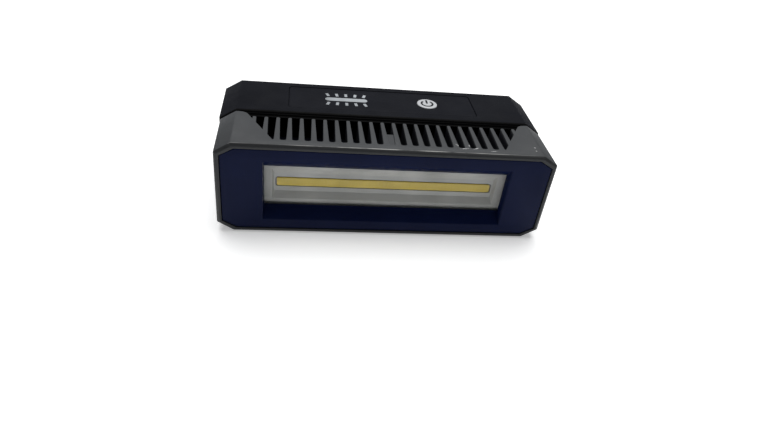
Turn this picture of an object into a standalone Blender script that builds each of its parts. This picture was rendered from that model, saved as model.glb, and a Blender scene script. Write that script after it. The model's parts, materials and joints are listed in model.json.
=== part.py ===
"""A rechargeable LED work light: a finned lamp head with a navy bezel, on a black battery housing.

Units are metres. +X is to the right, +Y runs from the lit front to the back, +Z is up, and the
origin is on the ground under the middle of the light. Depths are measured back from the front rim.
"""

import math

import bmesh
import bpy
from mathutils import Euler, Vector

MM = 0.001

# Driving dimensions
HEAD_WIDTH = 156.4 * MM
HEIGHT = 47.2 * MM
DEPTH = 64.9 * MM
CORNER_X = 7.4 * MM
CORNER_Z = 4.7 * MM
PROUD = 0.7 * MM
HEAD_DEPTH = 30.4 * MM
SEAM = 1.1 * MM
SEAM_INSET = 2.2 * MM
GAP = 0.3 * MM
WALL = 2.2 * MM
OVERRUN = 2 * MM

HALF = HEAD_WIDTH / 2
HOUSING_HALF = HALF + PROUD
FRONT = -DEPTH / 2
BACK = DEPTH / 2
MIDDLE_Z = 23.1 * MM

# Cooling fins of the lamp head
FIN_PITCH = 5.4 * MM
FIN_COUNT = 24
SLOT_START = 5.5 * MM
FIN_TIP = 26.3 * MM
SLOT_WIDTH_FRONT = 2.8 * MM
SLOT_WIDTH_TIP = 3.8 * MM
SLOT_ROUND = 1.0 * MM
FIELD_HALF_FRONT = 53.1 * MM
FIELD_HALF_BACK = 66.3 * MM
FIELD_ROUND = 4 * MM
WEB_END = 15.8 * MM
WEB_DROP = 0.6 * MM

# Dark core behind the fins
CORE_START = 2.9 * MM
CORE_WALL = 2.6 * MM
CORE_STEP = 15.8 * MM
CORE_HALF_X = 66.6 * MM
CORE_HALF_Z = 11.6 * MM
CORE_HOLLOW_START = 18.5 * MM

# Window, lens and light source
RIM = 2.3 * MM
BEZEL_SINK = 0.35 * MM
BEZEL_PANEL = 2.2 * MM
WINDOW_HALF_X = 57.2 * MM
WINDOW_HALF_Z = 15.8 * MM
PANE_HALF_X = 56.8 * MM
PANE_HALF_Z = 10.4 * MM
PANE_DEPTH = 5.7 * MM
WELL_HALF_X = 61 * MM
WELL_HALF_Z = 14.9 * MM
WELL_END = 9.4 * MM
LAMP_BACK = 13.2 * MM
SEAT_HALF_X = 59.2 * MM
SEAT_HALF_Z = 12.9 * MM
SEAL_WIDTH = 0.9 * MM
SEAL_THICK = 1.2 * MM
LENS_THICK = 0.9 * MM
TRAY_START = 7.1 * MM
TRAY_DEPTH = 2.5 * MM
TRAY_FLOOR = 0.5 * MM
TRAY_MOUTH = (53.3 * MM, 8.1 * MM)
TRAY_BOTTOM = (52.5 * MM, 5 * MM)
LED_SLOT_HALF = (51.9 * MM, 2.6 * MM)
LED_HALF = (51.2 * MM, 2.2 * MM)
LED_THICK = 0.8 * MM
LED_BOARD = (114 * MM, 9 * MM, 1.6 * MM)
PAD_THICK = 0.9 * MM
LED_SCREW_X = 54.6 * MM
SMALL_SCREW = 0.9 * MM
SMALL_HEAD = 1.7 * MM
SMALL_HOLE = 1.2 * MM

# Battery housing, rear cover and screws
HOUSING_START = HEAD_DEPTH + SEAM
COVER_PLATE = 2.6 * MM
COVER_SINK = 0.3 * MM
COVER_LEDGE = 1.1 * MM
GROOVE_COUNT = 5
GROOVE_HALF = 45 * MM
GROOVE_WIDTH = 1.6 * MM
GROOVE_DEPTH = 0.7 * MM
GROOVE_PITCH = 5.4 * MM
GROOVE_LOW = 11 * MM
POST_X = 69.5 * MM
POST_Z = (7.6 * MM, 39.6 * MM)
POST_RADIUS = 3.6 * MM
SCREW_RADIUS = 1.3 * MM
SCREW_HEAD_RADIUS = 2.6 * MM
SCREW_TIP = 21.5 * MM

# Top panel and power button
PANEL_HALF_X = 47 * MM
PANEL_ROUND = 2 * MM
PANEL_START = 37.3 * MM
PANEL_END = 60.6 * MM
PANEL_SINK = 1.0 * MM
FILM = 0.55 * MM
BUTTON_X = 23 * MM
BUTTON_DEPTH = 49.4 * MM
BUTTON_RADIUS = 5.2 * MM
BUTTON_TRAVEL = 0.6 * MM
BUTTON_SINK = 0.1 * MM
FLANGE_RADIUS = 6.5 * MM
FLANGE = (43.6 * MM, 44.6 * MM)
STEM_END = 42.9 * MM

# Battery and boards
CELL_RADIUS = 9.15 * MM
CELL_BODY = 63.6 * MM
CELL_PITCH = 65.8 * MM
CELL_CAP = 0.7 * MM
CELL_Z = 21 * MM
CELL_DEPTH = 46 * MM
TAB_THICK = 0.4 * MM
TAB_HALF = 3.5 * MM
CELL_TAB_RISE = 9.6 * MM
BOARD_LOW = 38.6 * MM
BOARD_TOP = 40.2 * MM
BOARD_X = (-50 * MM, 62 * MM)
BOARD_START = 36.6 * MM
BOARD_END = 56.6 * MM
SWITCH_HALF = 3 * MM
SWITCH_BODY = 1.4 * MM
COIL_X = -16 * MM
COIL_DEPTH = 46 * MM
COIL_HALF = 4 * MM
COIL_RISE = 3.6 * MM
BOARD_SCREW_X = 44 * MM
BOARD_SCREW_DEPTH = 52 * MM
LEAD_X = -69 * MM
LEAD_RADIUS = 0.6 * MM
CHANNEL_RADIUS = 2 * MM
NOTCH_START = 9.6 * MM
NOTCH_HALF = 3 * MM

# Charging port in the right end
PORT_Z = 24 * MM
PORT_DEPTH = 49.5 * MM
PORT_HALF = (7.4 * MM, 5.2 * MM)
PORT_COVER = 1.7 * MM
SOCKET_HALF = (3.9 * MM, 1.5 * MM)
SOCKET_WALL = 0.4 * MM
PORT_BOARD = (67.4 * MM, 68.6 * MM)
PORT_BOARD_END = 58 * MM

COLOURS = {
    "grey_paint": ((0.105, 0.110, 0.118), 0.42, 0.35),
    "dark_anodised": ((0.010, 0.012, 0.028), 0.45, 0.6),
    "navy_plastic": ((0.008, 0.012, 0.042), 0.28, 0.0),
    "black_plastic": ((0.014, 0.014, 0.017), 0.55, 0.0),
    "black_film": ((0.012, 0.012, 0.016), 0.40, 0.0),
    "black_rubber": ((0.010, 0.010, 0.011), 0.80, 0.0),
    "clear_plastic": ((0.90, 0.93, 0.95), 0.05, 0.0),
    "white_reflector": ((0.62, 0.64, 0.63), 0.35, 0.0),
    "white_button": ((0.66, 0.67, 0.68), 0.35, 0.0),
    "led_phosphor": ((0.72, 0.60, 0.20), 0.45, 0.0),
    "bare_aluminium": ((0.70, 0.71, 0.72), 0.35, 1.0),
    "grey_silicone": ((0.35, 0.36, 0.38), 0.70, 0.0),
    "steel": ((0.48, 0.48, 0.49), 0.30, 1.0),
    "nickel": ((0.66, 0.64, 0.60), 0.20, 1.0),
    "green_board": ((0.015, 0.12, 0.045), 0.45, 0.0),
    "cell_sleeve": ((0.04, 0.16, 0.42), 0.35, 0.0),
    "red_insulation": ((0.45, 0.03, 0.02), 0.50, 0.0),
}


def depth(distance):
    """World Y of a plane this far behind the front rim."""
    return FRONT + distance


# Scene, materials and small modelling tools


def clear_scene():
    for obj in list(bpy.data.objects):
        bpy.data.objects.remove(obj, do_unlink=True)


def new_collection(name):
    collection = bpy.data.collections.new(name)
    bpy.context.scene.collection.children.link(collection)
    return collection


def make_material(name):
    colour, roughness, metallic = COLOURS[name]
    material = bpy.data.materials.new(name)
    material.use_nodes = True
    shader = material.node_tree.nodes["Principled BSDF"]
    shader.inputs["Base Color"].default_value = (*colour, 1)
    shader.inputs["Roughness"].default_value = roughness
    shader.inputs["Metallic"].default_value = metallic
    return material


clear_scene()
PARTS = new_collection("led_work_light")
CUTTERS = new_collection("cutters")
MATERIALS = {name: make_material(name) for name in COLOURS}


def add_object(name, mesh, material=None):
    """A part if it has a material, otherwise a cutter or a shape to be joined."""
    obj = bpy.data.objects.new(name, mesh)
    if material:
        PARTS.objects.link(obj)
        mesh.materials.append(MATERIALS[material])
    else:
        CUTTERS.objects.link(obj)
        obj.hide_render = True
        obj.display_type = "WIRE"
    return obj


def box(name, x, y, z, material=None):
    """A block between a low and a high value on each axis."""
    work = bmesh.new()
    bmesh.ops.create_cube(work, size=1)
    size = Vector((x[1] - x[0], y[1] - y[0], z[1] - z[0]))
    centre = Vector((sum(x) / 2, sum(y) / 2, sum(z) / 2))
    bmesh.ops.scale(work, vec=size, verts=work.verts)
    bmesh.ops.translate(work, vec=centre, verts=work.verts)
    mesh = bpy.data.meshes.new(name)
    work.to_mesh(mesh)
    work.free()
    return add_object(name, mesh, material)


def frustum(name, near, far, start, end):
    """A tapered block on the axis of the window, whose ends are (half width, half height)."""
    obj = box(name, (-1, 1), (depth(start), depth(end)), (-1, 1))
    for vertex in obj.data.vertices:
        half_x, half_z = near if vertex.co.y < depth((start + end) / 2) else far
        vertex.co.x *= half_x
        vertex.co.z = MIDDLE_Z + vertex.co.z * half_z
    return obj


ROD_TURNS = {
    "X": Euler((0, math.pi / 2, 0)),
    "Y": Euler((math.pi / 2, 0, 0)),
    "Z": Euler((0, 0, 0)),
}


def add_rods(name, axis, rods, material=None, segments=24):
    """Round rods along one axis, each (centre, radius, length), as one object."""
    turn = ROD_TURNS[axis].to_matrix().to_4x4()
    work = bmesh.new()
    for centre, radius, length in rods:
        made = bmesh.ops.create_cone(
            work, cap_ends=True, segments=segments, radius1=radius, radius2=radius, depth=length
        )
        bmesh.ops.transform(work, matrix=turn, verts=made["verts"])
        bmesh.ops.translate(work, vec=Vector(centre), verts=made["verts"])
    mesh = bpy.data.meshes.new(name)
    work.to_mesh(mesh)
    work.free()
    mesh.shade_smooth()
    mesh.set_sharp_from_angle(angle=math.radians(35))
    return add_object(name, mesh, material)


def mesh_from_curve(curve, name, material):
    """Turns a filled curve object into a mesh object whose caps are welded to its sides."""
    bpy.context.view_layer.update()
    graph = bpy.context.evaluated_depsgraph_get()
    mesh = bpy.data.meshes.new_from_object(curve.evaluated_get(graph))
    work = bmesh.new()
    work.from_mesh(mesh)
    bmesh.ops.remove_doubles(work, verts=work.verts, dist=1e-6)
    bmesh.ops.dissolve_limit(
        work, angle_limit=math.radians(0.5), verts=work.verts, edges=work.edges
    )
    work.to_mesh(mesh)
    work.free()
    mesh.materials.clear()
    mesh.transform(curve.matrix_world)
    bpy.data.objects.remove(curve, do_unlink=True)
    return add_object(name, mesh, material)


OUTLINE_TURNS = {
    "X": Euler((math.pi / 2, 0, math.pi / 2)),
    "Y": Euler((math.pi / 2, 0, 0)),
    "Z": Euler((0, 0, 0)),
}


def prism(name, outlines, axis, low, high, material=None):
    """Flat closed outlines in the plane across an axis, thickened from low to high along it."""
    curve = bpy.data.curves.new(name + "_outline", "CURVE")
    curve.dimensions = "2D"
    curve.fill_mode = "BOTH"
    curve.extrude = (high - low) / 2
    for outline in outlines:
        spline = curve.splines.new("POLY")
        spline.points.add(len(outline) - 1)
        for point, (across, up) in zip(spline.points, outline):
            point.co = (across, up, 0, 1)
        spline.use_cyclic_u = True
    obj = bpy.data.objects.new(name + "_outline", curve)
    CUTTERS.objects.link(obj)
    obj.rotation_euler = OUTLINE_TURNS[axis]
    obj.location["XYZ".index(axis)] = (low + high) / 2
    return mesh_from_curve(obj, name, material)


def boolean(target, others, operation):
    for other in others:
        modifier = target.modifiers.new(operation.lower() + "_" + other.name, "BOOLEAN")
        modifier.operation = operation
        modifier.solver = "EXACT"
        modifier.object = other


def cut(target, *others):
    boolean(target, others, "DIFFERENCE")


def join(target, *others):
    boolean(target, others, "UNION")


def arc(centre, radius, start, end, steps):
    """Points on an arc, with the angles in degrees."""
    angles = [math.radians(start + (end - start) * i / steps) for i in range(steps + 1)]
    return [(centre[0] + radius * math.cos(a), centre[1] + radius * math.sin(a)) for a in angles]


def rounded_rectangle(x, y, radius, steps=4):
    """An outline between low and high values, with round corners."""
    corners = [
        ((x[1] - radius, y[1] - radius), 0),
        ((x[0] + radius, y[1] - radius), 90),
        ((x[0] + radius, y[0] + radius), 180),
        ((x[1] - radius, y[0] + radius), 270),
    ]
    return [p for centre, start in corners for p in arc(centre, radius, start, start + 90, steps)]


def body_outline(inset=0.0, proud=0.0):
    """The eight-cornered outline that the head, bezel and housing share, in X and Z. The housing
    stands proud of the head at both ends."""
    corner_x = CORNER_X + proud - 0.4 * inset
    corner_z = CORNER_Z + 0.5 * proud - 0.4 * inset
    half, low, high = HALF + proud - inset, inset, HEIGHT - inset
    right = [
        (half - corner_x, low),
        (half, low + corner_z),
        (half, high - corner_z),
        (half - corner_x, high),
    ]
    return right + [(-x, z) for x, z in reversed(right)]


def tube(name, points, radius, material):
    """A wire that follows a list of points, with flat ends."""
    curve = bpy.data.curves.new(name, "CURVE")
    curve.dimensions = "3D"
    curve.bevel_depth = radius
    curve.bevel_resolution = 2
    curve.use_fill_caps = True
    spline = curve.splines.new("POLY")
    spline.points.add(len(points) - 1)
    for point, place in zip(spline.points, points):
        point.co = (*place, 1)
    curve.materials.append(MATERIALS[material])
    obj = bpy.data.objects.new(name, curve)
    PARTS.objects.link(obj)
    return obj


def smooth_path(points, steps=4):
    """Catmull-Rom points through a route, so that a lead bends in smooth curves."""
    places = [Vector(p) for p in points]
    places = [2 * places[0] - places[1], *places, 2 * places[-1] - places[-2]]
    path = []
    for a, b, c, d in zip(places, places[1:], places[2:], places[3:]):
        for i in range(steps):
            t = i / steps
            path.append(
                0.5 * (2 * b + (c - a) * t + (2 * a - 5 * b + 4 * c - d) * t**2
                       + (3 * b - a - 3 * c + d) * t**3)
            )
    return [*path, places[-2]]


# Lamp head


def fin_field():
    """The area of the top and bottom that the fins take up. It widens towards the back, where the
    grey ends beside it have round corners."""
    lean = math.atan2(FIELD_HALF_BACK - FIELD_HALF_FRONT, HEAD_DEPTH - SLOT_START)
    tangent = FIELD_ROUND * math.tan((math.pi / 2 - lean) / 2)
    centre = (FIELD_HALF_BACK + tangent, depth(HEAD_DEPTH) - FIELD_ROUND)
    corner = arc(centre, FIELD_ROUND, 180 - math.degrees(lean), 90, 5)
    front = (FIELD_HALF_FRONT - OVERRUN * math.tan(lean), depth(SLOT_START) - OVERRUN)
    right = [front, *corner, (centre[0], depth(HEAD_DEPTH) + OVERRUN)]
    outline = right + [(-x, y) for x, y in reversed(right)]
    return prism("fin_field", [outline], "Z", -OVERRUN, HEIGHT + OVERRUN)


def fin_slots():
    """The gaps between the fins, round in front and wider at the fin tips, kept to the finned area."""
    near, far = depth(SLOT_START), depth(FIN_TIP + GAP)
    half_near, half_far = SLOT_WIDTH_FRONT / 2, SLOT_WIDTH_TIP / 2
    outlines = []
    for number in range(FIN_COUNT + 1):
        middle = (number - FIN_COUNT / 2) * FIN_PITCH
        left, right = middle - half_near + SLOT_ROUND, middle + half_near - SLOT_ROUND
        outlines.append([
            *arc((left, near + SLOT_ROUND), SLOT_ROUND, 180, 270, 3),
            *arc((right, near + SLOT_ROUND), SLOT_ROUND, 270, 360, 3),
            (middle + half_far, far),
            (middle - half_far, far),
        ])
    slots = prism("fin_slots", outlines, "Z", -1.5 * OVERRUN, HEIGHT + 1.5 * OVERRUN)
    boolean(slots, [fin_field()], "INTERSECT")
    return slots


def fin_clearance():
    """The open band behind the fins, with a scallop that rounds the tip of each fin."""
    radius = (FIN_PITCH - SLOT_WIDTH_TIP) / 2
    reach = radius + GAP / 2
    near, far = FIN_TIP - radius, HEAD_DEPTH + 1.5 * OVERRUN
    outline = [(-HALF, depth(far)), (-HALF, depth(near))]
    for number in range(FIN_COUNT):
        middle = (number - (FIN_COUNT - 1) / 2) * FIN_PITCH
        outline += [(middle + reach * x, depth(near + radius * y)) for x, y in arc((0, 0), 1, 180, 0, 6)]
    outline += [(HALF, depth(near)), (HALF, depth(far))]
    band = prism("fin_clearance", [outline], "Z", -1.5 * OVERRUN, HEIGHT + 1.5 * OVERRUN)
    boolean(band, [fin_field()], "INTERSECT")
    return band


def screw_places():
    return [(side * POST_X, z) for side in (-1, 1) for z in POST_Z]


def rods_along_y(name, places, radius, start, end, material=None, segments=24):
    middle, length = depth((start + end) / 2), end - start
    rods = [((x, middle, z), radius, length) for x, z in places]
    return add_rods(name, "Y", rods, material, segments)


def centred_box(name, half_x, half_z, start, end, material=None):
    """A block on the axis of the window, between two depths."""
    return box(name, (-half_x, half_x), (depth(start), depth(end)),
               (MIDDLE_Z - half_z, MIDDLE_Z + half_z), material)


def centred_plate(name, half_x, half_z, radius, start, end, material=None):
    """A plate with round corners on the axis of the window."""
    outline = rounded_rectangle((-half_x, half_x), (MIDDLE_Z - half_z, MIDDLE_Z + half_z), radius, 3)
    return prism(name, [outline], "Y", depth(start), depth(end), material)


def core_shape(name, extra, material=None):
    """The core's outside, or with an extra the room for it: a front block and a slimmer back."""
    block = centred_box(name, WELL_HALF_X + GAP + CORE_WALL + extra, WELL_HALF_Z + GAP + CORE_WALL + extra,
                        CORE_START - extra, CORE_STEP + extra, material)
    join(block, centred_box(name + "_back", CORE_HALF_X + extra, CORE_HALF_Z + extra,
                            CORE_STEP - CORE_WALL, HEAD_DEPTH + 2 * extra))
    return block


def lead_notch():
    """The way for the leads, from the back of the lit board to the channel in the left end."""
    return box("lead_notch", (LEAD_X - CHANNEL_RADIUS, OVERRUN / 2 - WELL_HALF_X),
               (depth(NOTCH_START), depth(LAMP_BACK)), (MIDDLE_Z - NOTCH_HALF, MIDDLE_Z + NOTCH_HALF))


def fin_sleeve():
    """The grey outer casting: front rim, cooling fins top and bottom, and solid ends for the screws."""
    sleeve = prism("fin_sleeve", [body_outline()], "Y", FRONT, depth(HEAD_DEPTH), "grey_paint")
    cut(
        sleeve,
        fin_slots(),
        fin_clearance(),
        prism("bezel_seat", [body_outline(RIM)], "Y", FRONT - OVERRUN,
              depth(BEZEL_SINK + BEZEL_PANEL + GAP)),
        core_shape("core_room", GAP),
        lead_notch(),
        rods_along_y("lead_channel", [(LEAD_X, MIDDLE_Z)], CHANNEL_RADIUS, LAMP_BACK - OVERRUN,
                     HEAD_DEPTH + OVERRUN, segments=16),
        rods_along_y("head_screw_holes", screw_places(), SCREW_RADIUS + GAP, SCREW_TIP - OVERRUN,
                     HEAD_DEPTH + OVERRUN, segments=16),
    )
    web_low = MIDDLE_Z + WELL_HALF_Z + CORE_WALL + 2.5 * GAP
    join(sleeve, box("fin_web", (-FIN_PITCH / 2, FIN_PITCH / 2), (depth(SLOT_START - 1 * MM), depth(WEB_END)),
                     (web_low, HEIGHT - WEB_DROP)))


def heat_spreader():
    """The dark core that the lit board is screwed to, with a pocket in front and a hollow back."""
    core = core_shape("heat_spreader", 0, "dark_anodised")
    hollow = CORE_HALF_X - 2 * CORE_WALL, CORE_HALF_Z - CORE_WALL
    cut(
        core,
        centred_box("lamp_pocket", WELL_HALF_X + GAP, WELL_HALF_Z + GAP, 0, LAMP_BACK),
        centred_box("core_hollow", *hollow, CORE_HOLLOW_START, HEAD_DEPTH + OVERRUN),
        lead_notch(),
        rods_along_y("board_screw_holes", led_screw_places(), SMALL_HOLE, LAMP_BACK - OVERRUN / 2,
                     LAMP_BACK + OVERRUN, segments=12),
    )


def bezel():
    """The navy front panel with its bevelled window and the well that holds the lens and tray."""
    panel = prism("front_bezel", [body_outline(RIM + GAP)], "Y", depth(BEZEL_SINK),
                  depth(BEZEL_SINK + BEZEL_PANEL), "navy_plastic")
    join(panel, centred_box("bezel_well", WELL_HALF_X, WELL_HALF_Z, BEZEL_SINK + BEZEL_PANEL / 2,
                            WELL_END))
    # The cutter runs past both ends of the bevel at its own slope, so both edges stay in place.
    run = PANE_DEPTH - BEZEL_SINK
    over = OVERRUN / 2
    more_x = (WINDOW_HALF_X - PANE_HALF_X) / run * over
    more_z = (WINDOW_HALF_Z - PANE_HALF_Z) / run * over
    cut(
        panel,
        frustum("window_bevel", (WINDOW_HALF_X + more_x, WINDOW_HALF_Z + more_z),
                (PANE_HALF_X - more_x, PANE_HALF_Z - more_z), BEZEL_SINK - over, PANE_DEPTH + over),
        centred_box("lens_seat", SEAT_HALF_X, SEAT_HALF_Z, PANE_DEPTH, WELL_END + OVERRUN),
    )


def lens_and_seal():
    """The clear window and the seal around its edge, both just behind the bevel."""
    start = PANE_DEPTH + GAP / 2
    outer = (SEAT_HALF_X - GAP, SEAT_HALF_Z - GAP)
    inner = (outer[0] - SEAL_WIDTH, outer[1] - SEAL_WIDTH)
    seal = centred_plate("lens_seal", *outer, 1.2 * MM, start, start + SEAL_THICK, "black_rubber")
    cut(seal, centred_plate("seal_opening", *inner, 0.8 * MM, start - OVERRUN, start + 2 * OVERRUN))
    centred_plate("lens", inner[0] - GAP, inner[1] - GAP, 0.8 * MM, start, start + LENS_THICK,
                  "clear_plastic")


def reflector():
    """The pale tray around the lit strip: a flat border, sloping walls and a floor with a slot."""
    end = TRAY_START + TRAY_DEPTH
    tray = centred_box("reflector", SEAT_HALF_X - GAP, SEAT_HALF_Z - GAP, TRAY_START, end,
                       "white_reflector")
    run = TRAY_DEPTH - TRAY_FLOOR
    over = OVERRUN / 4
    mouth = [wide + (wide - low) / run * over for wide, low in zip(TRAY_MOUTH, TRAY_BOTTOM)]
    cut(
        tray,
        frustum("tray_hollow", mouth, TRAY_BOTTOM, TRAY_START - over, TRAY_START + run),
        centred_plate("led_slot", *LED_SLOT_HALF, 1.2 * MM, TRAY_START, end + OVERRUN),
    )


def led_screw_places():
    return [(side * LED_SCREW_X, MIDDLE_Z) for side in (-1, 1)]


def lit_board():
    """The lit strip, the aluminium board under it, its thermal pad and its two screws."""
    half_x, half_z = LED_BOARD[0] / 2, LED_BOARD[1] / 2
    start = TRAY_START + TRAY_DEPTH + GAP
    end = start + LED_BOARD[2]
    strip_end = start - GAP / 2
    centred_plate("led_strip", *LED_HALF, 0.9 * MM, strip_end - LED_THICK, strip_end, "led_phosphor")
    board = centred_box("led_board", half_x, half_z, start, end, "bare_aluminium")
    pad = centred_box("thermal_pad", half_x, half_z, end + GAP / 2, end + GAP / 2 + PAD_THICK,
                      "grey_silicone")
    holes = rods_along_y("led_board_holes", led_screw_places(), SMALL_HOLE, start - OVERRUN,
                         end + 2 * OVERRUN, segments=12)
    sinks = rods_along_y("led_board_sinks", led_screw_places(), SMALL_HEAD + GAP, start - OVERRUN,
                         start + 0.8 * MM, segments=16)
    cut(board, holes, sinks)
    cut(pad, holes)
    for number, place in enumerate(led_screw_places(), 1):
        screw = rods_along_y(f"led_board_screw_{number}", [place], SMALL_SCREW, start + 0.2 * MM,
                             end + 2.4 * MM, "steel", 12)
        join(screw, rods_along_y(f"led_screw_head_{number}", [place], SMALL_HEAD, start - 0.1 * MM,
                                 start + 0.5 * MM, segments=16))


# Battery housing


def battery_housing():
    """The black shell, closed at the front and open at the back, with posts and bosses inside."""
    shell = prism("rear_housing", [body_outline(0, PROUD)], "Y", depth(HOUSING_START), BACK,
                  "black_plastic")
    inside = HOUSING_START + WALL
    seat = DEPTH - COVER_SINK - COVER_PLATE - GAP
    cut(
        shell,
        prism("housing_hollow", [body_outline(WALL, PROUD)], "Y", depth(inside), BACK + OVERRUN),
        prism("cover_seat", [body_outline(COVER_LEDGE, PROUD)], "Y", depth(seat), BACK + OVERRUN),
    )
    boss_low, boss_high = BOARD_TOP + GAP / 2, HEIGHT - WALL + 0.5 * MM
    boss_x = (-BOARD_SCREW_X, BOARD_SCREW_X)
    boss_y = depth(BOARD_SCREW_DEPTH)
    rail = 1 * MM
    low_x, high_x = PORT_BOARD[0] - GAP, PORT_BOARD[1] + GAP
    rail_y = (depth(inside - 0.5 * MM), depth(inside + 2.4 * MM))
    rail_z = (PORT_Z - 8 * MM, PORT_Z + 8 * MM)
    join(
        shell,
        prism("seam_wall", [body_outline(SEAM_INSET)], "Y", depth(HEAD_DEPTH + GAP),
              depth(HOUSING_START + 0.5 * MM)),
        rods_along_y("screw_posts", screw_places(), POST_RADIUS, inside - 0.5 * MM, seat - GAP),
        add_rods("board_bosses", "Z", [((x, boss_y, (boss_low + boss_high) / 2), 2.6 * MM,
                                        boss_high - boss_low) for x in boss_x]),
        box("port_rail_inner", (low_x - rail, low_x), rail_y, rail_z),
        box("port_rail_outer", (high_x, high_x + rail), rail_y, rail_z),
    )
    cut(
        shell,
        rods_along_y("post_holes", screw_places(), SCREW_RADIUS + GAP, HOUSING_START - OVERRUN,
                     DEPTH, segments=16),
        rods_along_y("grommet_hole", [(LEAD_X, MIDDLE_Z)], 2.6 * MM, HOUSING_START - OVERRUN,
                     inside + OVERRUN, segments=16),
        add_rods("boss_holes", "Z", [((x, boss_y, boss_low), SMALL_HOLE, 8 * MM) for x in boss_x],
                 segments=12),
        prism("film_seat", [panel_outline(0)], "Z", HEIGHT - PANEL_SINK, HEIGHT + OVERRUN),
        add_rods("button_hole", "Z", [((BUTTON_X, depth(BUTTON_DEPTH), HEIGHT), BUTTON_RADIUS + GAP,
                                       8 * MM)], segments=32),
        prism("port_seat", [port_outline()], "X", HOUSING_HALF - PORT_COVER - GAP,
              HOUSING_HALF + OVERRUN),
        box("port_window", (HOUSING_HALF - WALL - OVERRUN, HOUSING_HALF + OVERRUN),
            (depth(PORT_DEPTH) - SOCKET_HALF[0] - GAP, depth(PORT_DEPTH) + SOCKET_HALF[0] + GAP),
            (PORT_Z - SOCKET_HALF[1] - GAP, PORT_Z + SOCKET_HALF[1] + GAP)),
    )


def rear_cover():
    """The flat cover over the back, let into the housing, with a row of shallow grooves."""
    start = DEPTH - COVER_SINK - COVER_PLATE
    end = DEPTH - COVER_SINK
    cover = prism("rear_cover", [body_outline(COVER_LEDGE + GAP, PROUD)], "Y", depth(start), depth(end),
                  "black_plastic")
    lows = [GROOVE_LOW + number * GROOVE_PITCH for number in range(GROOVE_COUNT)]
    cut(
        cover,
        rods_along_y("cover_holes", screw_places(), SCREW_RADIUS + GAP, start - OVERRUN, end + OVERRUN,
                     segments=16),
        rods_along_y("cover_sinks", screw_places(), SCREW_HEAD_RADIUS + GAP, end - 1.6 * MM,
                     end + OVERRUN),
        *[box(f"cover_groove_{number}", (-GROOVE_HALF, GROOVE_HALF),
              (depth(end - GROOVE_DEPTH), BACK + OVERRUN), (low, low + GROOVE_WIDTH))
          for number, low in enumerate(lows, 1)],
    )


def housing_screws():
    """Four long screws, through the cover and the housing's posts into the head."""
    head_end = DEPTH - COVER_SINK - 0.2 * MM
    for number, place in enumerate(screw_places(), 1):
        screw = rods_along_y(f"housing_screw_{number}", [place], SCREW_RADIUS, SCREW_TIP,
                             head_end - 0.5 * MM, "steel", 16)
        join(screw, rods_along_y(f"screw_head_{number}", [place], SCREW_HEAD_RADIUS, head_end - 1.2 * MM,
                                 head_end))
        cut(screw, rods_along_y(f"screw_hexagon_{number}", [place], 1.1 * MM, head_end - 0.9 * MM,
                                head_end + OVERRUN, segments=6))


def lead_grommet():
    start = HOUSING_START + GAP
    end = HOUSING_START + WALL + 0.6 * MM
    grommet = rods_along_y("lead_grommet", [(LEAD_X, MIDDLE_Z)], 2.3 * MM, start, end, "black_rubber", 16)
    cut(grommet, rods_along_y("grommet_bore", [(LEAD_X, MIDDLE_Z)], 1.85 * MM, start - OVERRUN,
                              end + OVERRUN, segments=16))


# Top panel and power button


def panel_outline(inset):
    """The control panel in plan."""
    half = PANEL_HALF_X - inset
    return rounded_rectangle((-half, half), (depth(PANEL_START + inset), depth(PANEL_END - inset)),
                             PANEL_ROUND - inset)


def control_film():
    """The thin film that covers the recess in the top, with a hole for the button."""
    low = HEIGHT - PANEL_SINK + GAP
    film = prism("control_film", [panel_outline(GAP)], "Z", low, low + FILM, "black_film")
    cut(film, add_rods("film_hole", "Z", [((BUTTON_X, depth(BUTTON_DEPTH), HEIGHT), BUTTON_RADIUS + GAP,
                                           4 * MM)], segments=32))


def rod_up(name, radius, low, high, material=None, segments=24):
    """A rod on the button's axis between two heights."""
    centre = (BUTTON_X, depth(BUTTON_DEPTH), (low + high) / 2)
    return add_rods(name, "Z", [(centre, radius, high - low)], material, segments)


def power_button():
    """The round white button, held from below by its flange, with a stem over the switch."""
    button = rod_up("power_button", BUTTON_RADIUS, FLANGE[0] + 0.2 * MM, HEIGHT - BUTTON_SINK,
                    "white_button", 40)
    join(
        button,
        rod_up("button_flange", FLANGE_RADIUS, *FLANGE, segments=32),
        rod_up("button_stem", 1.8 * MM, STEM_END, FLANGE[1], segments=16),
    )


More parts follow.
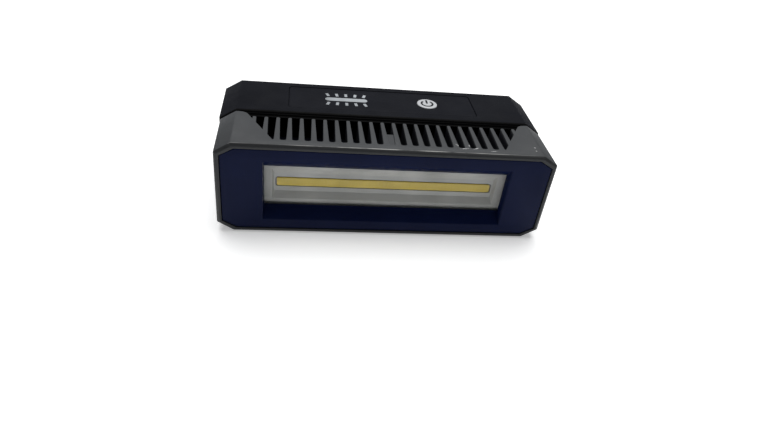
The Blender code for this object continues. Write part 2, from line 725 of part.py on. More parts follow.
def control_board():
    """The circuit board under the top, its switch, and the two screws that hold it from below."""
    places = [(side * BOARD_SCREW_X, depth(BOARD_SCREW_DEPTH)) for side in (-1, 1)]
    board = box("control_board", BOARD_X, (depth(BOARD_START), depth(BOARD_END)),
                (BOARD_LOW, BOARD_TOP), "green_board")
    cut(board, add_rods("control_board_holes", "Z", [((x, y, BOARD_LOW), 1.3 * MM, 6 * MM)
                                                     for x, y in places], segments=12))
    for number, (x, y) in enumerate(places, 1):
        screw = add_rods(f"control_board_screw_{number}", "Z", [((x, y, BOARD_LOW + 2 * MM), 0.9 * MM,
                                                                 5 * MM)], "steel", 12)
        join(screw, add_rods(f"board_screw_head_{number}", "Z", [((x, y, BOARD_LOW - 0.75 * MM),
                                                                  1.9 * MM, 1.1 * MM)], segments=16))
    middle = depth(BUTTON_DEPTH)
    body_top = BOARD_TOP + SWITCH_BODY
    switch = box("tact_switch", (BUTTON_X - SWITCH_HALF, BUTTON_X + SWITCH_HALF),
                 (middle - SWITCH_HALF, middle + SWITCH_HALF), (BOARD_TOP + GAP / 2, body_top),
                 "black_plastic")
    join(switch, rod_up("switch_plunger", 1.6 * MM, body_top - 0.2 * MM,
                        STEM_END - BUTTON_TRAVEL - 0.1 * MM, segments=16))
    box("driver_coil", (COIL_X - COIL_HALF, COIL_X + COIL_HALF),
        (depth(COIL_DEPTH - COIL_HALF), depth(COIL_DEPTH + COIL_HALF)),
        (BOARD_TOP + GAP / 2, BOARD_TOP + COIL_RISE), "black_plastic")


# Battery, charging port and leads


def batteries():
    """Two cylindrical cells end to end, with contact tabs, in a cradle."""
    middle = depth(CELL_DEPTH)
    for name, side in (("battery_cell_left", -1), ("battery_cell_right", 1)):
        centre = (side * CELL_PITCH / 2, middle, CELL_Z)
        cell = add_rods(name, "X", [(centre, CELL_RADIUS, CELL_BODY)], "cell_sleeve", 32)
        cap_end = centre[0] + CELL_BODY / 2 + CELL_CAP
        join(cell, add_rods(name + "_cap", "X", [((cap_end - 1 * MM, middle, CELL_Z), 2.8 * MM, 2 * MM)],
                            segments=16))
    end = CELL_PITCH / 2 + CELL_BODY / 2
    tabs = (
        ("cell_tab_left", -end - GAP - TAB_THICK, CELL_TAB_RISE),
        ("cell_tab_middle", 0.25 * MM, TAB_HALF),
        ("cell_tab_right", end + CELL_CAP + GAP, CELL_TAB_RISE),
    )
    for name, low, rise in tabs:
        box(name, (low, low + TAB_THICK), (middle - TAB_HALF, middle + TAB_HALF),
            (CELL_Z - TAB_HALF, CELL_Z + rise), "nickel")
    saddle = CELL_RADIUS + GAP
    cradle = box("battery_cradle", (-63 * MM, 63 * MM), (depth(37.5 * MM), depth(54.5 * MM)),
                 (WALL + GAP, CELL_Z - 3.6 * MM), "black_plastic")
    bay_half = 22 * MM
    cut(
        cradle,
        add_rods("cradle_saddle", "X", [((0, middle, CELL_Z), saddle, 140 * MM)], segments=32),
        *[box(f"cradle_bay_{number}", (x - bay_half, x + bay_half), (depth(36 * MM), depth(56 * MM)),
              (WALL + 2 * MM, CELL_Z)) for number, x in enumerate((-33 * MM, 33 * MM), 1)],
    )


def port_outline():
    """The seat of the charging port's cover seen from the right, in Y and Z."""
    half_y, half_z = PORT_HALF
    middle = depth(PORT_DEPTH)
    return rounded_rectangle((middle - half_y, middle + half_y), (PORT_Z - half_z, PORT_Z + half_z),
                             0.6 * MM, 3)


def charging_port():
    """The charging socket on its small board behind the right end."""
    middle = depth(PORT_DEPTH)
    box("port_board", PORT_BOARD, (depth(HOUSING_START + WALL + GAP), depth(PORT_BOARD_END)),
        (PORT_Z - 9 * MM, PORT_Z + 9 * MM), "green_board")
    back = PORT_BOARD[1] + GAP / 2
    mouth = HOUSING_HALF - PORT_COVER - GAP - 0.8 * MM
    half_y, half_z = SOCKET_HALF
    socket = box("charge_socket", (back, mouth), (middle - half_y, middle + half_y),
                 (PORT_Z - half_z, PORT_Z + half_z), "steel")
    cut(socket, box("socket_mouth", (back + 1 * MM, mouth + OVERRUN),
                    (middle - half_y + SOCKET_WALL, middle + half_y - SOCKET_WALL),
                    (PORT_Z - half_z + SOCKET_WALL, PORT_Z + half_z - SOCKET_WALL)))
    box("socket_tongue", (back + 1.3 * MM, mouth - 0.6 * MM), (middle - 2.4 * MM, middle + 2.4 * MM),
        (PORT_Z - 0.35 * MM, PORT_Z + 0.35 * MM), "black_plastic")


def port_cover():
    """The rubber cover of the port. It turns down about the round bead along its lower edge."""
    outer = HOUSING_HALF - 0.1 * MM
    bead = PORT_COVER / 2
    middle = depth(PORT_DEPTH)
    bead_z = PORT_Z - PORT_HALF[1] + GAP + bead
    half_y = PORT_HALF[0] - GAP
    outline = rounded_rectangle((middle - half_y, middle + half_y), (bead_z, PORT_Z + PORT_HALF[1] - GAP),
                                1 * MM, 3)
    cover = prism("port_cover", [outline], "X", outer - PORT_COVER, outer, "black_rubber")
    join(cover, add_rods("cover_bead", "Y", [((outer - bead, middle, bead_z), bead, 2 * half_y - 2 * bead)],
                         segments=20))


def wire(name, offset, material, route):
    """A lead along a route of (x, distance from the front, z), set aside by an offset up and forward."""
    points = smooth_path([(x * MM, depth(y * MM) - offset, z * MM + offset) for x, y, z in route])
    tube(name, points, LEAD_RADIUS, material)


def leads():
    """Red and black leads: control board to lit board, and battery tabs to control board."""
    window_z = MIDDLE_Z / MM
    lamp_route = (
        (-47, 40, 37.1), (-55, 39, 35.9), (-62, 36.8, 31.5), (-67.5, 36, 26.5), (-69, 34.8, window_z),
        (-69, 28, window_z), (-69, 20, window_z), (-69, 13.4, window_z), (-67.5, 11.5, window_z),
        (-64, 11.3, window_z), (-57.8, 11.3, window_z),
    )
    wire("led_lead_red", 0.8 * MM, "red_insulation", lamp_route)
    wire("led_lead_black", -0.8 * MM, "black_rubber", lamp_route)
    tab_top = (CELL_Z + CELL_TAB_RISE) / MM
    wire("battery_lead_red", 0, "red_insulation",
         ((66, 46, tab_top + 1), (65.6, 46.2, tab_top + 3), (62, 48, 34.5), (55, 50, 37.4)))
    wire("battery_lead_black", 0, "black_rubber",
         ((-65.2, 46, tab_top + 1), (-64.8, 46.2, tab_top + 3), (-60, 48, 34.5), (-51, 50, 37.4)))


fin_sleeve()
heat_spreader()
bezel()
lens_and_seal()
reflector()
lit_board()
battery_housing()
rear_cover()
housing_screws()
lead_grommet()
control_film()
power_button()
control_board()
batteries()
charging_port()
port_cover()
leads()
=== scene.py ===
"""The looks of the LED work light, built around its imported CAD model. Metres, +Z up, lit front towards -Y."""

import json
import math

import bmesh
import bpy
from mathutils import Matrix, Vector


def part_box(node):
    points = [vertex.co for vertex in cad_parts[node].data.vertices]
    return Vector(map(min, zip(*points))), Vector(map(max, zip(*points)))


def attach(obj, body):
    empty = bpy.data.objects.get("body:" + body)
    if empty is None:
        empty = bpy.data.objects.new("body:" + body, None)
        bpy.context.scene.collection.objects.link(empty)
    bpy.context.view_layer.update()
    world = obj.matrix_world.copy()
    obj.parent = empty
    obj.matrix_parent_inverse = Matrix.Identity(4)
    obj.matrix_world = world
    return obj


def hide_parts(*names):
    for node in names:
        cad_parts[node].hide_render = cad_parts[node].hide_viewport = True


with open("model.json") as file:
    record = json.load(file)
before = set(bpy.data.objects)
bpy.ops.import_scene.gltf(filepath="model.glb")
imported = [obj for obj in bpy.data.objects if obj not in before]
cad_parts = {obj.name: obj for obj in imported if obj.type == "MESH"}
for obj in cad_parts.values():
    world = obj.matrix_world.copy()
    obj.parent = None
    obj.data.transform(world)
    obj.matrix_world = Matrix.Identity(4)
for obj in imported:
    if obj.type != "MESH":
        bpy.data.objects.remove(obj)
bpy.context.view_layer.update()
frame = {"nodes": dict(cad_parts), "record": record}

MM = 0.001
NODES = frame["nodes"]
SLOTS = {part["node"]: part["material_slot"] for part in frame["record"]["subparts"]}

# Places that the looks need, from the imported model
SLEEVE_LOW, SLEEVE_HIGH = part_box("fin_sleeve")
BUTTON_LOW, BUTTON_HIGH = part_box("power_button")
HOUSING_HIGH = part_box("rear_housing")[1]
COVER_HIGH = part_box("rear_cover")[1]
FILM_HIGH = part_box("control_film")[1]
PORT_COVER_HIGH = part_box("port_cover")[1]
FRONT = SLEEVE_LOW.y
TOP = SLEEVE_HIGH.z
HALF = SLEEVE_HIGH.x
HOUSING_FRONT = FRONT + 31.5 * MM

RIM_CHAMFER = 1.3 * MM
CORNERS_BEYOND = 69 * MM  # past this x, the edges along Y are the body's own long corners
SLOTS_BEHIND = 5 * MM  # the slots between the fins start this far behind the front
ON_PLANE = 0.01 * MM  # this near to a plane counts as on it
SMOOTH_UNDER = math.radians(42)


def middle(low, high):
    return (low + high) / 2


# Node-based materials


def principled(material):
    return material.node_tree.nodes["Principled BSDF"]


def new_look(name, colour, roughness, metallic=0.0, gloss=0.5):
    material = bpy.data.materials.new(name)
    material.use_nodes = True
    shader = principled(material)
    shader.inputs["Base Color"].default_value = (*colour, 1)
    shader.inputs["Roughness"].default_value = roughness
    shader.inputs["Metallic"].default_value = metallic
    shader.inputs["Specular IOR Level"].default_value = gloss
    return material


def add_node(material, kind, **settings):
    """A shader node with these attributes set."""
    node = material.node_tree.nodes.new(kind)
    for key, value in settings.items():
        setattr(node, key, value)
    return node


def link(material, source, target):
    material.node_tree.links.new(source, target)


def noise(material, size, detail=3.0, stretch=(1, 1, 1)):
    """Noise whose blobs are about this size in metres, in the object's own coordinates."""
    place = add_node(material, "ShaderNodeTexCoord")
    mapping = add_node(material, "ShaderNodeMapping")
    mapping.inputs["Scale"].default_value = stretch
    link(material, place.outputs["Object"], mapping.inputs["Vector"])
    texture = add_node(material, "ShaderNodeTexNoise")
    texture.inputs["Scale"].default_value = 1 / size
    texture.inputs["Detail"].default_value = detail
    link(material, mapping.outputs["Vector"], texture.inputs["Vector"])
    return texture.outputs["Fac"]


def spread(material, value, low, high, to_low=0.0, to_high=1.0):
    """A value mapped from one range to another and kept inside it."""
    node = add_node(material, "ShaderNodeMapRange")
    for name, number in (("From Min", low), ("From Max", high), ("To Min", to_low), ("To Max", to_high)):
        node.inputs[name].default_value = number
    link(material, value, node.inputs["Value"])
    return node.outputs["Result"]


def maths(material, operation, *values):
    """One maths step on numbers or sockets."""
    node = add_node(material, "ShaderNodeMath", operation=operation)
    for socket, value in zip(node.inputs, values):
        if isinstance(value, (int, float)):
            socket.default_value = value
        else:
            link(material, value, socket)
    return node.outputs["Value"]


def times(material, first, *others):
    """The product of some sockets or numbers."""
    for other in others:
        first = maths(material, "MULTIPLY", first, other)
    return first


def mixed(material, share, first, second):
    """A colour between two colours or sockets."""
    node = add_node(material, "ShaderNodeMix", data_type="RGBA")
    link(material, share, node.inputs["Factor"])
    for name, value in (("A_Color", first), ("B_Color", second)):
        socket = next(s for s in node.inputs if s.identifier == name)
        if isinstance(value, tuple):
            socket.default_value = (*value, 1)
        else:
            link(material, value, socket)
    return next(s for s in node.outputs if s.identifier == "Result_Color")


def axis_value(material, axis):
    """One of the object's own coordinates, in metres."""
    place = add_node(material, "ShaderNodeTexCoord")
    split = add_node(material, "ShaderNodeSeparateXYZ")
    link(material, place.outputs["Object"], split.inputs["Vector"])
    return split.outputs[axis]


def band(material, axis, centre, half, soft):
    """1 where a coordinate is within half of centre, fading to 0 over soft."""
    away = maths(material, "ABSOLUTE", maths(material, "SUBTRACT", axis_value(material, axis), centre))
    return spread(material, away, half, half + soft, 1, 0)


def into(material, name, value):
    """Feeds a socket of the material's main shader."""
    link(material, value, principled(material).inputs[name])


def colour_so_far(material):
    """The socket that feeds the colour now, for another layer to go over it."""
    return principled(material).inputs["Base Color"].links[0].from_socket


def bump(material, height, distance):
    node = add_node(material, "ShaderNodeBump")
    node.inputs["Distance"].default_value = distance
    node.inputs["Strength"].default_value = 1.0
    link(material, height, node.inputs["Height"])
    into(material, "Normal", node.outputs["Normal"])


def textured(name, colour, roughness, grain, depth, vary=0.12, gloss=0.5):
    """A surface with fine grain, clouds in its colour and handling smudges in its roughness."""
    material = new_look(name, colour, roughness, gloss=gloss)
    clouds = noise(material, 22 * MM, 4)
    dark = tuple(c * (1 - vary) for c in colour)
    light = tuple(c * (1 + vary) for c in colour)
    into(material, "Base Color", mixed(material, spread(material, clouds, 0.35, 0.65), dark, light))
    fine = noise(material, grain, 2)
    smudges = noise(material, 9 * MM, 4)
    fine_part = spread(material, fine, 0.3, 0.7, -0.05, 0.05)
    smudged_part = spread(material, smudges, 0.3, 0.7, roughness - 0.05, roughness + 0.07)
    into(material, "Roughness", maths(material, "ADD", fine_part, smudged_part))
    bump(material, fine, depth)
    return material


SCUFFS = (
    # white rubs on the top: x, distance behind the front, turn in degrees, half length, half width, in mm
    (31.2, 7.4, -40, 2.0, 0.55),
    (33.4, 4.9, 8, 2.2, 0.35),
    (36.6, 8.6, 70, 1.8, 0.6),
    (38.8, 5.4, 25, 1.6, 0.4),
    (42.6, 8.0, 60, 1.3, 0.35),
    (47.0, 3.6, 5, 1.6, 0.25),
    (68.1, 8.6, 0, 0.45, 0.45),
    (67.9, 5.6, 0, 0.4, 0.4),
)


def rub(material, x, back, turn, half_length, half_width):
    """A soft oval mark on the top."""
    place = add_node(material, "ShaderNodeTexCoord")
    mapping = add_node(material, "ShaderNodeMapping", vector_type="TEXTURE")
    mapping.inputs["Location"].default_value = (x * MM, FRONT + back * MM, TOP)
    mapping.inputs["Rotation"].default_value = (0, 0, math.radians(turn))
    mapping.inputs["Scale"].default_value = (half_length * MM, half_width * MM, 1.2 * MM)
    link(material, place.outputs["Object"], mapping.inputs["Vector"])
    length = add_node(material, "ShaderNodeVectorMath", operation="LENGTH")
    link(material, mapping.outputs["Vector"], length.inputs[0])
    return spread(material, length.outputs["Value"], 0.45, 1.25, 1, 0)


def scuff_marks(material):
    """White rubs on the top, broken up by fine noise."""
    marks = rub(material, *SCUFFS[0])
    for scuff in SCUFFS[1:]:
        marks = maths(material, "MAXIMUM", marks, rub(material, *scuff))
    return times(material, marks, spread(material, noise(material, 0.9 * MM, 5), 0.40, 0.60))


def wear_and_highlight_line(material):
    """A bright line along the front top edge, partly rubbed paint and partly a painted highlight, strongest
    over the middle of the length.
    """
    streaks = spread(material, noise(material, 5 * MM, 6, (0.35, 1, 1)), 0.40, 0.62)
    along_edge = times(material, band(material, "Y", FRONT + RIM_CHAMFER + 0.05 * MM, 0.1 * MM, 0.16 * MM),
                       band(material, "Z", TOP, 0.5 * MM, 0.3 * MM))
    by_length = maths(material, "MULTIPLY_ADD", band(material, "X", 4 * MM, 34 * MM, 22 * MM), 0.75, 0.25)
    return times(material, along_edge, streaks, by_length)


def painted_slot_shade(material):
    """Painted shade mask: 1 on the fins' flanks, inside the slots at the top and the bottom."""
    below_fin_tips = band(material, "Z", TOP / 2, TOP / 2 - 1.6 * MM, 1.2 * MM)
    between_ends = band(material, "X", 0, HALF - 9 * MM, 1 * MM)
    start = FRONT + SLOTS_BEHIND
    behind_front = spread(material, axis_value(material, "Y"), start, start + 0.6 * MM)
    return times(material, below_fin_tips, between_ends, behind_front)


def painted_rim_shade(material):
    """Painted shade on the rim: strongest on the chamfer around the front, and half as strong on the flat front
    face.
    """
    chamfer_end = FRONT + RIM_CHAMFER
    chamfer = spread(material, axis_value(material, "Y"), chamfer_end - 0.15 * MM, chamfer_end, 0.8, 0)
    off_front = spread(material, axis_value(material, "Y"), FRONT + 0.1 * MM, FRONT + 0.3 * MM, 0.5, 1)
    return times(material, chamfer, off_front)


def grey_paint():
    """Satin grey paint, with painted shade in the slots and on the rim, a bright front edge line that is partly
    rubbed paint and partly a painted highlight, and a few white scuffs.
    """
    material = textured("grey_paint", (0.050, 0.0525, 0.056), 0.52, 0.35 * MM, 0.015 * MM, vary=0.07,
                        gloss=0.2)
    layers = (
        # painted shade: the fins' flanks in the slots go near-black navy
        (times(material, painted_slot_shade(material), 0.85), (0.0025, 0.003, 0.007)),
        # painted shade on the rim's chamfer and front face, which face the dim front
        (painted_rim_shade(material), (0.012, 0.0125, 0.0135)),
        # bright front edge line: partly rubbed paint, partly a painted highlight
        (times(material, wear_and_highlight_line(material), 0.75), (0.55, 0.55, 0.53)),
        (times(material, scuff_marks(material), 0.8), (0.62, 0.62, 0.62)),
    )
    result = colour_so_far(material)
    for share, colour in layers:
        result = mixed(material, share, result, colour)
    into(material, "Base Color", result)
    return material


def black_plastic():
    """Fine-grained black plastic, with painted shade where the housing's front corner turns into the seam."""
    material = textured("black_plastic", (0.0056, 0.0062, 0.0095), 0.60, 0.28 * MM, 0.018 * MM, gloss=0.05)
    dark_until = HOUSING_FRONT + 1.2 * MM
    # painted shade: nearly black where the housing's front turns into the seam
    seam = spread(material, axis_value(material, "Y"), dark_until, dark_until + 0.6 * MM, 1, 0)
    into(material, "Base Color", mixed(material, seam, colour_so_far(material), (0.0004, 0.0004, 0.0006)))
    return material


def clear_lens():
    """A clear cover, hazed a little by fine scratches."""
    material = new_look("clear_lens", (0.03, 0.03, 0.035), 0.08)
    principled(material).inputs["IOR"].default_value = 1.5
    haze = noise(material, 14 * MM, 5)
    into(material, "Alpha", spread(material, haze, 0.35, 0.7, 0.04, 0.10))
    into(material, "Roughness", spread(material, noise(material, 1.2 * MM, 4), 0.3, 0.7, 0.05, 0.16))
    return material


def phosphor():
    """Yellow silicone over rows of light-emitting chips, which show as faint darker spots."""
    material = new_look("led_phosphor", (0.72, 0.56, 0.20), 0.38)
    pitch_x = 1.6 * MM
    pitch_z = 1.45 * MM
    place = add_node(material, "ShaderNodeTexCoord")
    mapping = add_node(material, "ShaderNodeMapping")
    mapping.inputs["Scale"].default_value = (1 / pitch_x, 0, 1 / pitch_z)
    link(material, place.outputs["Object"], mapping.inputs["Vector"])
    cells = add_node(material, "ShaderNodeTexVoronoi")
    cells.inputs["Scale"].default_value = 1
    cells.inputs["Randomness"].default_value = 0.0
    link(material, mapping.outputs["Vector"], cells.inputs["Vector"])
    chips = spread(material, cells.outputs["Distance"], 0.16, 0.34, 1, 0)
    clouds = spread(material, noise(material, 7 * MM, 3), 0.35, 0.65)
    base = mixed(material, clouds, (0.71, 0.545, 0.100), (0.80, 0.62, 0.125))
    into(material, "Base Color", mixed(material, times(material, chips, 0.25), base, (0.60, 0.42, 0.06)))
    bump(material, chips, 0.03 * MM)
    return material


def circuit_board(name):
    """Green solder mask with faint tracks."""
    material = new_look(name, (0.015, 0.12, 0.045), 0.4)
    tracks = spread(material, noise(material, 2 * MM, 0, (1, 0.2, 1)), 0.49, 0.51)
    into(material, "Base Color", mixed(material, tracks, (0.012, 0.10, 0.04), (0.02, 0.15, 0.06)))
    bump(material, tracks, 0.03 * MM)
    return material


def brushed(name, colour, roughness=0.32, stretch=(1, 1, 12)):
    """Bare metal with fine lines along one direction."""
    material = new_look(name, colour, roughness, 1.0)
    lines = noise(material, 0.5 * MM, 3, stretch)
    dark = tuple(c * 0.8 for c in colour)
    into(material, "Base Color", mixed(material, spread(material, lines, 0.3, 0.7), dark, colour))
    into(material, "Roughness", spread(material, lines, 0.3, 0.7, roughness - 0.08, roughness + 0.12))
    bump(material, lines, 0.01 * MM)
    return material


LOOKS = {
    "head": grey_paint(),
    "core": textured("dark_anodised", (0.0010, 0.0014, 0.0050), 0.55, 0.3 * MM, 0.01 * MM, gloss=0.1),
    "bezel": textured("navy_plastic", (0.0026, 0.0062, 0.032), 0.34, 0.3 * MM, 0.008 * MM, vary=0.10,
                      gloss=0.07),
    "lens": clear_lens(),
    "seal": textured("seal_rubber", (0.008, 0.008, 0.010), 0.7, 0.4 * MM, 0.02 * MM),
    "reflector": textured("reflector_plastic", (0.50, 0.505, 0.485), 0.42, 0.8 * MM, 0.006 * MM, vary=0.07,
                          gloss=0.3),
    "phosphor": phosphor(),
    "board_metal": brushed("board_aluminium", (0.20, 0.20, 0.21)),
    "pad": textured("thermal_silicone", (0.35, 0.36, 0.38), 0.7, 0.5 * MM, 0.02 * MM),
    "screw": brushed("zinc_steel", (0.42, 0.42, 0.43), 0.35),
    "housing": black_plastic(),
    "film": textured("control_film", (0.0054, 0.0060, 0.0098), 0.56, 0.22 * MM, 0.006 * MM, vary=0.10,
                     gloss=0.05),
    "button": textured("button_plastic", (0.52, 0.53, 0.55), 0.40, 0.5 * MM, 0.004 * MM, vary=0.04),
    "board": circuit_board("solder_mask"),
    "switch": textured("black_moulding", (0.016, 0.016, 0.018), 0.45, 0.3 * MM, 0.01 * MM),
    "cell": textured("cell_sleeve", (0.04, 0.16, 0.42), 0.32, 1.0 * MM, 0.01 * MM),
    "tab": brushed("nickel_strip", (0.66, 0.63, 0.58), 0.25),
    "socket": brushed("tinned_steel", (0.50, 0.50, 0.51), 0.28),
    "rubber": textured("cover_rubber", (0.0075, 0.0078, 0.0088), 0.72, 0.35 * MM, 0.02 * MM, vary=0.2,
                       gloss=0.08),
    "red_lead": textured("red_insulation", (0.42, 0.02, 0.015), 0.45, 0.6 * MM, 0.01 * MM),
    "black_lead": textured("black_insulation", (0.012, 0.012, 0.013), 0.45, 0.6 * MM, 0.01 * MM),
}


def paint(mesh, look):
    mesh.materials.clear()
    mesh.materials.append(look)


for node, slot in SLOTS.items():
    paint(NODES[node].data, LOOKS[slot])


# Rounded copies of the CAD parts that show


def faces_out(edge, centre):
    """True where the edge borders an outer face that runs from front to back."""
    here = (edge.verts[0].co + edge.verts[1].co) / 2 - centre
    here.y = 0
    return any(abs(f.normal.y) < 0.1 and f.normal.dot(here) > 0 for f in edge.link_faces)


def runs_along_y(edge):
    way = (edge.verts[1].co - edge.verts[0].co).normalized()
    return abs(way.y) > 0.99


def clean_copy(node):
    """The CAD node's mesh with its flat faces whole again."""
    mesh = NODES[node].data.copy()
    work = bmesh.new()
    work.from_mesh(mesh)
    bmesh.ops.remove_doubles(work, verts=work.verts, dist=1e-6)
    bmesh.ops.dissolve_limit(work, angle_limit=math.radians(1), verts=work.verts, edges=work.edges)
    work.normal_update()
    return mesh, work


def sharp_edges(work, least=28):
    return [e for e in work.edges if len(e.link_faces) == 2 and e.calc_face_angle(0) > math.radians(least)]


def bevel(work, edges, width, segments, clamp=False):
    bmesh.ops.bevel(work, geom=edges, offset=width, offset_type="OFFSET", segments=segments,
                    profile=0.5, affect="EDGES", clamp_overlap=clamp)


def rounded_part(node, rule, body="root", segments=3, chamfer=None, clamp=True):
    """A copy of a CAD part whose sharp edges are rounded, each by the width that the rule gives it.

    The edges that the chamfer rule picks are cut flat first. With clamp, a rounding stops at its neighbours.
    """
    mesh, work = clean_copy(node)
    centre = middle(*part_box(node))
    if chamfer:
        bevel(work, [e for e in sharp_edges(work) if chamfer(e, centre)], RIM_CHAMFER, 1)
        work.normal_update()
    groups = {}
    for edge in sharp_edges(work):
        width = rule(edge, centre)
        if width:
            groups.setdefault(width, []).append(edge)
    for width in sorted(groups, reverse=True):
        left = [e for e in groups[width] if e.is_valid]
        if left:
            bevel(work, left, width, segments, clamp)
    work.to_mesh(mesh)
    work.free()
    obj = bpy.data.objects.new(node + "_shell", mesh)
    bpy.context.scene.collection.objects.link(obj)
    paint(mesh, LOOKS[SLOTS[node]])
    mesh.shade_smooth()
    mesh.set_sharp_from_angle(angle=SMOOTH_UNDER)
    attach(obj, body)
    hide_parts(node)


def all_ends(edge, test):
    return all(test(v.co) for v in edge.verts)


def rim_rule(edge, centre):
    """The outer edge of the sleeve's front face."""
    return all_ends(edge, lambda p: p.y < FRONT + ON_PLANE) and faces_out(edge, centre)


def long_corner(edge, centre):
    """True on the body's own corners, which run from front to back."""
    return runs_along_y(edge) and faces_out(edge, centre) and abs(edge.verts[0].co.x) > CORNERS_BEYOND


def sleeve_rule(edge, centre):
    if all_ends(edge, lambda p: p.y < FRONT + 1.05 * RIM_CHAMFER):
        return 0.10 * MM
    if long_corner(edge, centre):
        return 0.5 * MM
    if all_ends(edge, lambda p: p.y > SLEEVE_HIGH.y - ON_PLANE) and faces_out(edge, centre):
        return 0.3 * MM
    if all_ends(edge, lambda p: p.z > TOP - ON_PLANE or p.z < ON_PLANE):
        return 0.18 * MM
    return 0.0


def bezel_rule(edge, centre):
    return 0.3 * MM if all_ends(edge, lambda p: p.y < FRONT + 0.5 * MM) else 0.0


def housing_rule(edge, centre):
    if all_ends(edge, lambda p: p.y > HOUSING_HIGH.y - ON_PLANE) and faces_out(edge, centre):
        return 0.7 * MM
    if long_corner(edge, centre):
        return 0.9 * MM
    if all_ends(edge, lambda p: abs(p.y - HOUSING_FRONT) < ON_PLANE) and faces_out(edge, centre):
        return 1.3 * MM
    if all_ends(edge, lambda p: p.z > HOUSING_HIGH.z - ON_PLANE):
        return 0.1 * MM
    return 0.0


def cover_rule(edge, centre):
    """The outline of the rear cover's back face."""
    on_back = all_ends(edge, lambda p: p.y > COVER_HIGH.y - ON_PLANE)
    return 0.4 * MM if on_back and faces_out(edge, centre) and edge.calc_length() > 5 * MM else 0.0


def film_rule(edge, centre):
    return 0.12 * MM if all_ends(edge, lambda p: p.z >= FILM_HIGH.z - ON_PLANE) else 0.0


def button_rule(edge, centre):
    return 0.35 * MM if all_ends(edge, lambda p: p.z >= BUTTON_HIGH.z - ON_PLANE) else 0.0


def port_cover_rule(edge, centre):
    return 0.25 * MM if all_ends(edge, lambda p: p.x >= PORT_COVER_HIGH.x - ON_PLANE) else 0.0


def strip_rule(edge, centre):
    """Every sharp edge of the LED strip."""
    return 0.3 * MM


rounded_part("fin_sleeve", sleeve_rule, chamfer=rim_rule, clamp=False)
rounded_part("front_bezel", bezel_rule, clamp=False)
rounded_part("rear_housing", housing_rule, segments=4, clamp=False)
rounded_part("rear_cover", cover_rule)
rounded_part("control_film", film_rule)
rounded_part("power_button", button_rule, body="button")
rounded_part("port_cover", port_cover_rule, body="port_flap")
rounded_part("led_strip", strip_rule)


# Printed marks, as thin raised shapes


INK = 0.04 * MM
BLACK_INK = textured("black_ink", (0.010, 0.011, 0.014), 0.5, 0.3 * MM, 0.004 * MM, vary=0.2, gloss=0.1)
WHITE_INK = textured("white_ink", (0.34, 0.36, 0.38), 0.6, 0.5 * MM, 0.006 * MM, vary=0.25, gloss=0.2)


def printed(name, outlines, height, look, body):
    """Flat outlines in plan, printed at a height, as one thin piece."""
    curve = bpy.data.curves.new(name, "CURVE")
    curve.dimensions = "2D"
    curve.fill_mode = "BOTH"
    curve.extrude = INK / 2
    for outline in outlines:
        spline = curve.splines.new("POLY")
        spline.points.add(len(outline) - 1)
        for point, (x, y) in zip(spline.points, outline):
            point.co = (x, y, 0, 1)
        spline.use_cyclic_u = True
    obj = bpy.data.objects.new(name, curve)
    bpy.context.scene.collection.objects.link(obj)
    obj.location.z = height + INK / 2
    bpy.context.view_layer.update()
    mesh = bpy.data.meshes.new_from_object(obj.evaluated_get(bpy.context.evaluated_depsgraph_get()))
    mesh.transform(obj.matrix_world)
    bpy.data.objects.remove(obj, do_unlink=True)
    piece = bpy.data.objects.new(name, mesh)
    bpy.context.scene.collection.objects.link(piece)
    paint(mesh, look)
    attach(piece, body)


def arc(centre, radius, start, end, steps):
    """Points along an arc, from one angle to another in degrees."""
    turns = [math.radians(start + (end - start) * step / steps) for step in range(steps + 1)]
    return [(centre[0] + radius * math.cos(turn), centre[1] + radius * math.sin(turn)) for turn in turns]


def bar(centre, half_x, half_y, turn=0.0):
    """A rectangle about a centre, turned in degrees."""
    c, s = math.cos(math.radians(turn)), math.sin(math.radians(turn))
    corners = ((-half_x, -half_y), (half_x, -half_y), (half_x, half_y), (-half_x, half_y))
    return [(centre[0] + c * x - s * y, centre[1] + s * x + c * y) for x, y in corners]


def power_symbol():
    """The usual on and off sign: a ring open at the back, with a bar in the gap."""
    centre = middle(BUTTON_LOW, BUTTON_HIGH)
    half_gap = 38
    start = 90 + half_gap
    end = 450 - half_gap
    steps = 28
    ring = arc(centre, 3.35 * MM, start, end, steps) + arc(centre, 2.35 * MM, end, start, steps)
    stroke = bar((centre.x, centre.y + 2.0 * MM), 0.5 * MM, 1.9 * MM)
    printed("power_symbol", [ring, stroke], BUTTON_HIGH.z, BLACK_INK, "button")


def lamp_pictogram():
    """A plain picture of a lit bar: a round-ended bar with short rays on both sides."""
    x, y = -18.5 * MM, FRONT + 48.6 * MM
    half_length = 8.8 * MM
    radius = 1.75 * MM
    ray_pitch = 4.6 * MM
    ray_away = 4.8 * MM
    lean = 9
    steps = 12
    right_end = arc((x + half_length, y), radius, -90, 90, steps)
    left_end = arc((x - half_length, y), radius, 90, 270, steps)
    outlines = [right_end + left_end]
    for side in (-1, 1):
        for number in range(-2, 3):
            place = (x + number * ray_pitch, y + side * ray_away)
            outlines.append(bar(place, 0.7 * MM, 1.5 * MM, -lean * number * side))
    printed("lamp_pictogram", outlines, FILM_HIGH.z, WHITE_INK, "root")


power_symbol()
lamp_pictogram()


# Camera, lights and floor


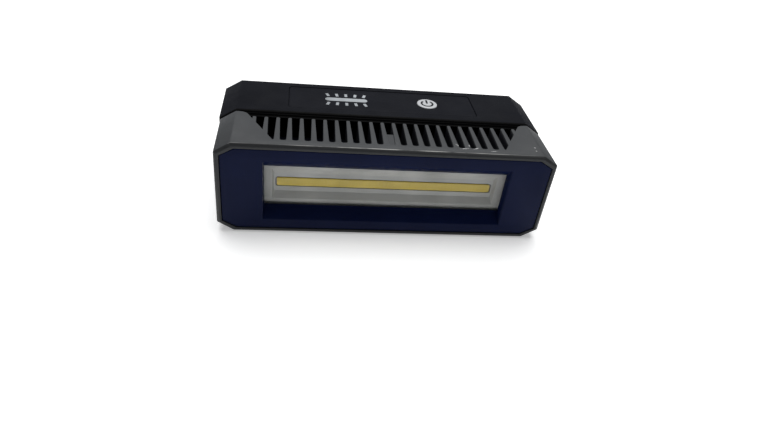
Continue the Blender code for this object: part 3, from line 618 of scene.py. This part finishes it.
def photo_camera():
    """A camera close above the left of the light, rolled a little, as a phone is held."""
    camera = bpy.data.cameras.new("camera")
    camera.lens = 28.45
    camera.sensor_width = 36
    camera.clip_start = 0.01
    obj = bpy.data.objects.new("camera", camera)
    bpy.context.scene.collection.objects.link(obj)
    yaw, pitch, roll = math.radians(-10.60), math.radians(-35.99), math.radians(-7.87)
    turn = Matrix.Rotation(yaw, 3, "Z") @ Matrix.Rotation(pitch, 3, "X") @ Matrix.Rotation(roll, 3, "Y")
    right, forward, up = turn.col
    axes = Matrix((right, up, -forward)).transposed().to_4x4()
    place = Vector((-43.5 * MM, FRONT - 229.7 * MM, 181.4 * MM))
    obj.matrix_world = Matrix.Translation(place) @ axes
    bpy.context.scene.camera = obj


def sky():
    """A dim studio, darkest in front where the photographer stands and lighter behind the object."""
    world = bpy.data.worlds.new("studio")
    bpy.context.scene.world = world
    world.use_nodes = True
    nodes, links = world.node_tree.nodes, world.node_tree.links
    place = nodes.new("ShaderNodeTexCoord")
    split = nodes.new("ShaderNodeSeparateXYZ")
    fade = nodes.new("ShaderNodeMapRange")
    links.new(place.outputs["Generated"], split.inputs["Vector"])
    links.new(split.outputs["Y"], fade.inputs["Value"])
    for name, number in (("From Min", -0.5), ("From Max", 0.6), ("To Min", 0.12), ("To Max", 0.36)):
        fade.inputs[name].default_value = number
    links.new(fade.outputs["Result"], nodes["Background"].inputs["Strength"])
    nodes["Background"].inputs["Color"].default_value = (0.95, 0.98, 1, 1)


def soft_sun():
    """A broad light from above and a little behind, so that the front stays in shade."""
    sun = bpy.data.lights.new("soft_sun", "SUN")
    sun.energy = 2.9
    sun.angle = math.radians(60)
    obj = bpy.data.objects.new("soft_sun", sun)
    bpy.context.scene.collection.objects.link(obj)
    obj.location = (0.05, 0.34, 1)
    obj.rotation_euler = (-obj.location).to_track_quat("-Z", "Y").to_euler()


def lit_floor():
    """A wide white floor that glows a little, as a light table does."""
    mesh = bpy.data.meshes.new("floor")
    work = bmesh.new()
    bmesh.ops.create_grid(work, x_segments=1, y_segments=1, size=30)
    work.to_mesh(mesh)
    work.free()
    floor = bpy.data.objects.new("floor", mesh)
    bpy.context.scene.collection.objects.link(floor)
    table = new_look("floor", (0.93, 0.93, 0.93), 0.7)
    principled(table).inputs["Emission Color"].default_value = (1, 1, 1, 1)
    principled(table).inputs["Emission Strength"].default_value = 0.35
    mesh.materials.append(table)


bpy.context.scene.view_settings.view_transform = "Standard"
photo_camera()
sky()
soft_sun()
lit_floor()
